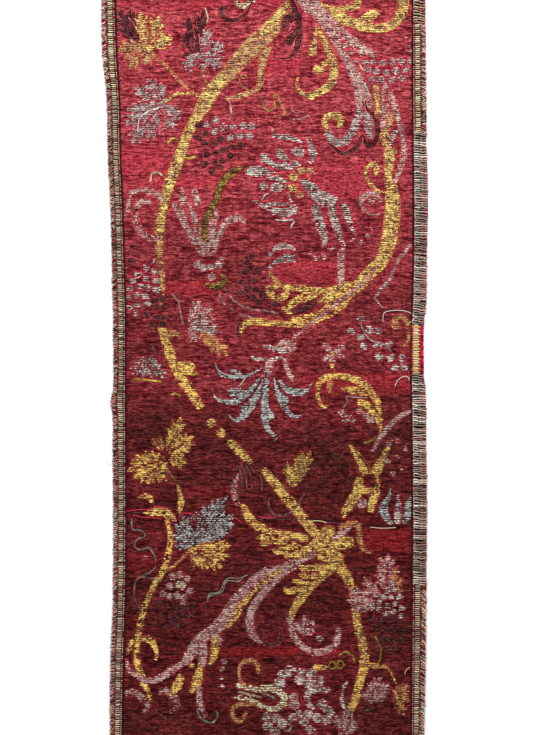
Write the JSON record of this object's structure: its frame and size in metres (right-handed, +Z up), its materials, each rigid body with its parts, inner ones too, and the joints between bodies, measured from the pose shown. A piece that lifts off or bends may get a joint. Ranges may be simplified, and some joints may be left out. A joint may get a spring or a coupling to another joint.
{
  "type": "brocade panel",
  "caption": "Long narrow panel of crimson silk brocade with a scrolling vine pattern, seamed across and edged with looped metal galloon, lying face up.",
  "frame": {"origin": "on the surface the panel lies on, under the middle of the panel", "axes": "+X towards the panel's right edge, +Y towards its top along its length, +Z up out of its face"},
  "size_m": [0.2298, 0.54, 0.0037],
  "materials": {
    "brocade": "ribbed silk with worn metal-thread pattern",
    "galloon": "tarnished silver thread over red silk",
    "galloon_bare": "yellow silk ladder weave on crimson"
  },
  "bodies": {
    "root": {"cloth_upper": "brocade", "cloth_lower": "brocade", "galloon_left": "galloon", "galloon_right_upper": "galloon", "galloon_right_bare": "galloon_bare", "galloon_right_lower": "galloon"}
  },
  "joints": []
}
